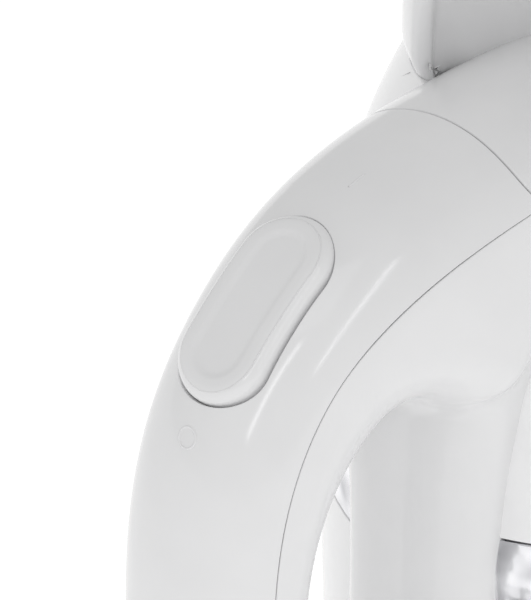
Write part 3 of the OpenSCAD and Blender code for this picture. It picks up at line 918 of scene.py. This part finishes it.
def handle_cap():
    """Outer shell of the handle, from the heel end up to the head cover."""
    hole = rocker_hole()
    fixed = hole["u"][1] + 1
    end = UP_START + COVER_SEAM_U
    us = ticks([0, hole["u"][0], hole["u"][1], fixed, end], STEP)
    vs = ticks([-1, hole["v"][0], hole["v"][1], 1], 0.03)
    uv, quads = pierced_grid(us, vs, [hole])
    u = stretched(uv[:, 0], fixed, end, cover_seam(uv[:, 1]) - SEAM / 2)
    shape = cap_points(u, uv[:, 1]), quads
    piece = new_piece("handle_shell", shape, "handle_plastic", replaces=["handle_cap"])
    return thicken(piece, edge=0.14)


def head_cover():
    """Cover of the bridge, from the cross seam to the nose cap's slot."""
    share = np.linspace(0, 1, 60)
    f = np.linspace(-1, 1, 69)
    share, f = (a.ravel() for a in np.meshgrid(share, f, indexing="ij"))
    u = mix(cover_seam(f) + SEAM / 2, CAP_AT[-1], share)
    shape = cap_points(u, f), grid_quads(60, 69)
    return thicken(new_piece("bridge_shell", shape, "handle_plastic", replaces=["head_cover"]))


def grip_stations():
    """Stations round the finger gap: gap point, far point, half-width, depth of the rounded
    front and how far the legs tuck in to meet the cap's rim."""

    def rim(outer, gap, t):
        way = gap - outer
        return outer + way * (parting_depth(t) / np.linalg.norm(way, axis=-1))[:, None]

    def rows(near, far, width, front, tuck):
        n = len(near)
        return np.column_stack([near, far, *(np.broadcast_to(c, n) for c in (width, front, tuck))])

    def thickness(outer, gap):
        return np.hypot(*(gap - outer).T)

    def rim_tuck(outer, gap, t):
        return 1 - 2 * parting_depth(t) / thickness(outer, gap)

    # Upper corner, from the hand side to the start of the spine's fillet.
    t = JOIN_T * (1 - np.cos(np.linspace(0, math.pi / 2, 140)))
    outer, gap = outer_up(t), gap_up(t)
    upper = rows(gap, rim(outer, gap, t), width_up(t), thickness(outer, gap) / 2,
                 rim_tuck(outer, gap, t))

    slope = gap_up(JOIN_T + 0.5) - gap_up(JOIN_T - 0.5)
    normal = np.array([slope[1], -slope[0]]) / np.hypot(*slope)
    centre = gap_up(JOIN_T) + GAP_CORNER * normal
    start = math.degrees(math.atan2(-normal[1], -normal[0]))

    # Fillet between the bridge and the spine.
    a = np.linspace(start, 0, 60)
    u = np.minimum(1, (start - a) / (start - 45))
    v = np.maximum(0, (45 - a) / 45)
    t = mix(JOIN_T, 90, u)
    near = centre + GAP_CORNER * np.stack([cosd(a), sind(a)], -1)
    far = mix(rim(outer_up(t), gap_up(t), t), np.array([INSIDE_X, centre[1]]), v[:, None])
    width = mix(width_up(t), spine_width(centre[1]), v * (2 - v))
    front = mix(CORNER_FRONT, SPINE_FRONT, np.linspace(0, 1, 60))
    fillet = rows(near, far, width, front, rim_tuck(outer_up(t), gap_up(t), t) * (1 - v))

    # Straight spine, and the fillet at its lower end.
    spine_x = centre[0] + GAP_CORNER
    low = np.array([centre[0], GAP_LOW + GAP_CORNER])
    z = np.linspace(centre[1], low[1], 100)[1:-1]
    spine = rows(np.stack([np.full(98, spine_x), z], -1),
                 np.stack([np.full(98, INSIDE_X), z], -1), spine_width(z), SPINE_FRONT, 0.0)
    a = np.linspace(0, -90, 40)
    u = (-a / 90)[:, None]
    near = low + GAP_CORNER * np.stack([cosd(a), sind(a)], -1)
    rim_end = rim(outer_down(np.array([90.0])), gap_down(np.array([90.0])), np.array([90.0]))
    far = mix(np.array([INSIDE_X, low[1]]), rim_end, u)
    width = mix(spine_width(low[1]), width_down(90.0), u[:, 0])
    lower_fillet = rows(near, far, width, mix(SPINE_FRONT, LOWER_FRONT, u[:, 0]), 0.0)

    # Lower corner back to the hand side.
    t = np.linspace(89, 0, 90)
    outer, gap = outer_down(t), gap_down(t)
    front = np.minimum(LOWER_FRONT, thickness(outer, gap) / 2)
    tuck = rim_tuck(outer, gap, t) * (1 - t / 90)
    lower = rows(gap, rim(outer, gap, t), width_down(t), front, tuck)

    loop = np.concatenate([upper, fillet, spine, lower_fillet, lower, upper[:1]])
    near_step = np.hypot(*np.diff(loop[:, :2], axis=0).T)
    far_step = np.hypot(*np.diff(loop[:, 2:4], axis=0).T)
    step = near_step + 0.3 * far_step
    at = np.concatenate([[0], np.cumsum(step)])
    even = np.linspace(0, at[-1], 421)
    loop = np.column_stack([np.interp(even, at, column) for column in loop.T])[:-1]
    return blurred(loop, even[:-1], 2.2, closed=at[-1])


def spine_width(z):
    return SPINE_W + 1.9 * ((z - WAIST_Z) / 32) ** 2


def handle_grip():
    """Inner shell: lines the finger gap and forms the spine against the body."""
    rows = grip_stations()
    hx, hz, px, pz, width, front, tuck = (c[:, None] for c in rows.T)
    far = np.hypot(px - hx, pz - hz)
    dx, dz = (px - hx) / far, (pz - hz) / far
    curve = np.radians(np.linspace(0, 90, 27))[None, :]
    leg = np.linspace(0, 1, 22)[None, 1:]
    depth = np.hstack([front * (1 - np.cos(curve)), mix(front, far - PARTING / 2, leg)])
    beyond = np.clip((depth - front) / (far - front), 0, 1)
    half = np.hstack([np.sin(curve) * np.ones_like(front), np.ones_like(leg * front)])
    half = width * half * np.sqrt(1 - (tuck * beyond) ** 2)
    side = np.stack([hx + dx * depth, half, hz + dz * depth], -1)
    both = np.concatenate([side[:, :0:-1] * (1, -1, 1), side], axis=1)
    shape = both.reshape(-1, 3), grid_quads(both.shape[0], both.shape[1], wrap_rows=True)
    piece = new_piece(
        "grip_shell", shape, "handle_plastic", replaces=["handle_grip"], flip=True
    )
    return thicken(piece, edge=0.14)


def power_rocker():
    """Rocker button: a pillow with a soft racetrack ridge round a shallow dish."""
    gap = 0.55
    radius = ROCKER_W / 2 - gap
    half = (ROCKER_L - ROCKER_W) / 2
    roll = 1.1
    inner = 4.1
    # The middle line and its outward directions, once round.
    straight = np.linspace(-half, half, 30)
    bend = np.linspace(90, -90, 60)[1:-1]
    middle = np.concatenate([straight, np.full(58, half), straight[::-1], np.full(58, -half)])
    angle = np.concatenate([np.full(30, 90.0), bend, np.full(30, -90.0), -90 - (90 - bend)])
    nx, ny = cosd(angle), sind(angle)
    flat_r = np.concatenate([
        np.linspace(0, inner + 2, 34),
        np.linspace(inner + 2, radius - roll, 5)[1:],
    ])
    roll_turn = np.radians(np.linspace(0, 90, 9))[1:]
    r = np.concatenate([flat_r, radius - roll + roll * np.sin(roll_turn), [radius]])
    drop = np.concatenate([np.zeros(len(flat_r)), roll * (1 - np.cos(roll_turn)), [4.0]])
    ridge = 0.36 * (smooth_step((r - inner + 0.9) / 1.3) - 1)
    shoulder = -0.5 * smooth_step((r - inner - 0.8) / (radius - inner - 0.8)) ** 1.5
    height = ridge + shoulder - drop + 0.15
    x = middle[None, :] + r[:, None] * nx
    y = r[:, None] * ny
    bow = x**2 / (2 * ROCKER_BOW)
    origin, along, across, out = rocker_frame()
    z = height[:, None] - bow
    points = origin + x[..., None] * along + y[..., None] * across + z[..., None] * out
    shape = points.reshape(-1, 3), grid_quads(len(r), len(angle), wrap_columns=True)
    piece = new_piece(
        "rocker_button", shape, "handle_plastic", body="rocker", replaces=["power_rocker"]
    )
    return close_poles(piece)


def switch_marks():
    """The ring and the bar moulded on the cap below and above the rocker."""
    sink = 0.12
    ring_u = UP_START + 39.6
    bar_u = UP_START + 82.6
    angle = np.linspace(0, 360, 49)[:-1]
    half, width, depth = cap_sizes(np.array(ring_u))
    f = np.arcsin(1.45 * sind(angle) / width) / cap_reach(half, depth)
    path = cap_points(ring_u + 1.45 * cosd(angle), f, -sink)
    before, after = cap_points(np.array([ring_u - 1, ring_u + 1]), np.zeros(2))
    out = np.cross((0, 1, 0), after - before)
    out /= -np.linalg.norm(out)
    parts = [tube(path, 0.22, out, 10, closed=True)]
    bar = cap_points(np.linspace(bar_u - 1.5, bar_u + 1.5, 13), np.zeros(13), -sink)
    parts.append(tube(bar, 0.22, (0, 1, 0), 10))
    new_piece("switch_marks", joined(parts), "handle_plastic")


# ---- Beaters ----


def half_loop_path():
    """A cage wire's centre line in the plane of x and r, from the neck to the tip."""
    shoulder = CAGE_R - 4
    neck = np.radians(np.linspace(180, 90, 24))
    first = np.stack([NECK_X + shoulder + shoulder * np.cos(neck), 4 + shoulder * np.sin(neck)], -1)
    tip_x = BEATER_REACH - CAGE_R
    run = np.linspace(NECK_X + shoulder, tip_x, 26)[1:-1]
    second = np.stack([run, np.full(len(run), CAGE_R)], -1)
    tip = np.radians(np.linspace(90, 8, 40))
    third = np.stack([tip_x + CAGE_R * np.cos(tip), CAGE_R * np.sin(tip)], -1)
    return np.concatenate([first, second, third])


def beater(name, side):
    """Shank, stop collar, neck, four bent wires and the tip."""
    profile = rounded(
        [(0.01, -15), (2.2, -15), (3, -13.6), (3, 44.5), (8, 44.5), (8, 46.1), (3, 46.3),
         (3, NECK_X - 3.4), (5.6, NECK_X - 3.4), (5.6, NECK_X + 3.4), (0.01, NECK_X + 3.4)], 0.6)
    tip = rounded(
        [(0.01, BEATER_REACH - 2.2), (5, BEATER_REACH - 2.2), (5, BEATER_REACH + 1.8),
         (0.01, BEATER_REACH + 1.8)], 0.7)
    parts = [revolve(profile, 64), revolve(tip, 64)]
    path = half_loop_path()
    for k in range(4):
        turn = math.radians(45 + 90 * k)
        line = np.stack([path[:, 1] * math.cos(turn), path[:, 1] * math.sin(turn), path[:, 0]], -1)
        parts.append(tube(line, WIRE_R, (-math.sin(turn), math.cos(turn), 0), 20))
    points, faces = joined(parts)
    shape = along_x(points, side * BEATER_Y, BEATER_Z), faces
    piece = new_piece(f"whisk_{name}", shape, "chrome", f"whisk_{name}", [f"beater_{name}"])
    return close_poles(piece)


# ---- Surroundings ----


def floor():
    material = bpy.data.materials.new("floor")
    material.use_nodes = True
    tree = material.node_tree
    shader = tree.nodes["Principled BSDF"]
    shader.inputs["Roughness"].default_value = 0.9
    shader.inputs["Specular IOR Level"].default_value = 0.1
    noise = tree.nodes.new("ShaderNodeTexNoise")
    noise.inputs["Scale"].default_value = 2.0
    tint = tree.nodes.new("ShaderNodeValToRGB")
    tint.color_ramp.elements[0].color = (0.93, 0.93, 0.93, 1)
    tint.color_ramp.elements[1].color = (0.96, 0.96, 0.96, 1)
    tree.links.new(noise.outputs["Fac"], tint.inputs["Fac"])
    tree.links.new(tint.outputs["Color"], shader.inputs["Base Color"])
    shader.inputs["Emission Color"].default_value = (1, 1, 1, 1)
    shader.inputs["Emission Strength"].default_value = 0.4
    size = 3.0
    mesh = bpy.data.meshes.new("floor")
    corners = [(-size, -size, 0), (size, -size, 0), (size, size, 0), (-size, size, 0)]
    mesh.from_pydata(corners, [], [(0, 1, 2, 3)])
    mesh.materials.append(material)
    plane = bpy.data.objects.new("floor", mesh)
    plane.location.z = cad_box[0].z - 0.0002
    bpy.context.scene.collection.objects.link(plane)


def studio_world():
    world = bpy.data.worlds.new("studio")
    bpy.context.scene.world = world
    world.use_nodes = True
    background = world.node_tree.nodes["Background"]
    background.inputs["Color"].default_value = (1, 1, 1, 1)
    background.inputs["Strength"].default_value = 0.68
    bpy.context.scene.view_settings.view_transform = "Standard"


def towards(azimuth, elevation):
    """Unit vector in a direction given in degrees."""
    flat = cosd(elevation)
    return Vector((flat * cosd(azimuth), flat * sind(azimuth), sind(elevation)))


def softbox(name, start, end, width, glow, distance=1.2):
    """A strip light, aimed at the handle, whose ends lie in two directions (azimuth, elevation).
    glow is its brightness beside a white wall's 1."""
    aim = Vector((HANDLE_X / 2, 0, 120)) * MM
    first, last = (towards(*side) * distance for side in (start, end))
    out = ((first + last) / 2).normalized()
    along = (last - first).normalized()
    light = bpy.data.lights.new(name, "AREA")
    light.shape = "RECTANGLE"
    light.size, light.size_y = width, (last - first).length
    light.energy = glow * math.pi * light.size * light.size_y
    lamp = bpy.data.objects.new(name, light)
    bpy.context.scene.collection.objects.link(lamp)
    lamp.location = aim + out * distance
    lamp.rotation_mode = "QUATERNION"
    lamp.rotation_quaternion = Matrix((along.cross(out), along, out)).transposed().to_quaternion()
    lamp.visible_camera = False


def studio_lights():
    """Two narrow strips for the highlights on the handle, a broad soft key and a fill."""
    softbox("strip_rear", (-130, 42), (-156, 14), 0.06, 6.0)
    softbox("strip_side", (-84, 54), (-109, 18), 0.04, 6.0)
    softbox("key", (-75, 40), (-35, 40), 0.7, 0.12)
    softbox("fill", (-160, 58), (-110, 58), 0.6, 0.7)


def camera():
    """Looks down at the upper corner of the handle from its left, through a long lens."""
    azimuth, elevation = math.radians(VIEW_AZIMUTH), math.radians(VIEW_ELEVATION)
    back = Vector((
        -math.cos(azimuth) * math.cos(elevation),
        -math.sin(azimuth) * math.cos(elevation),
        math.sin(elevation),
    ))
    data = bpy.data.cameras.new("camera")
    data.lens = VIEW_LENS
    view = bpy.data.objects.new("camera", data)
    bpy.context.scene.collection.objects.link(view)
    view.location = (Vector(VIEW_AIM) + back * VIEW_DISTANCE) * MM
    view.rotation_mode = "QUATERNION"
    view.rotation_quaternion = (-back).to_track_quat("-Z", "Y")
    data.clip_start = 0.01
    data.clip_end = 20
    bpy.context.scene.camera = view


dress_cad_nodes()
rear_housing()
front_housing()
chrome_band()
cord_bushing()
nose_cap()
speed_dial()
dial_marks()
eject_button()
handle_cap()
head_cover()
handle_grip()
power_rocker()
switch_marks()
beater("left", 1)
beater("right", -1)

floor()
studio_world()
studio_lights()
camera()
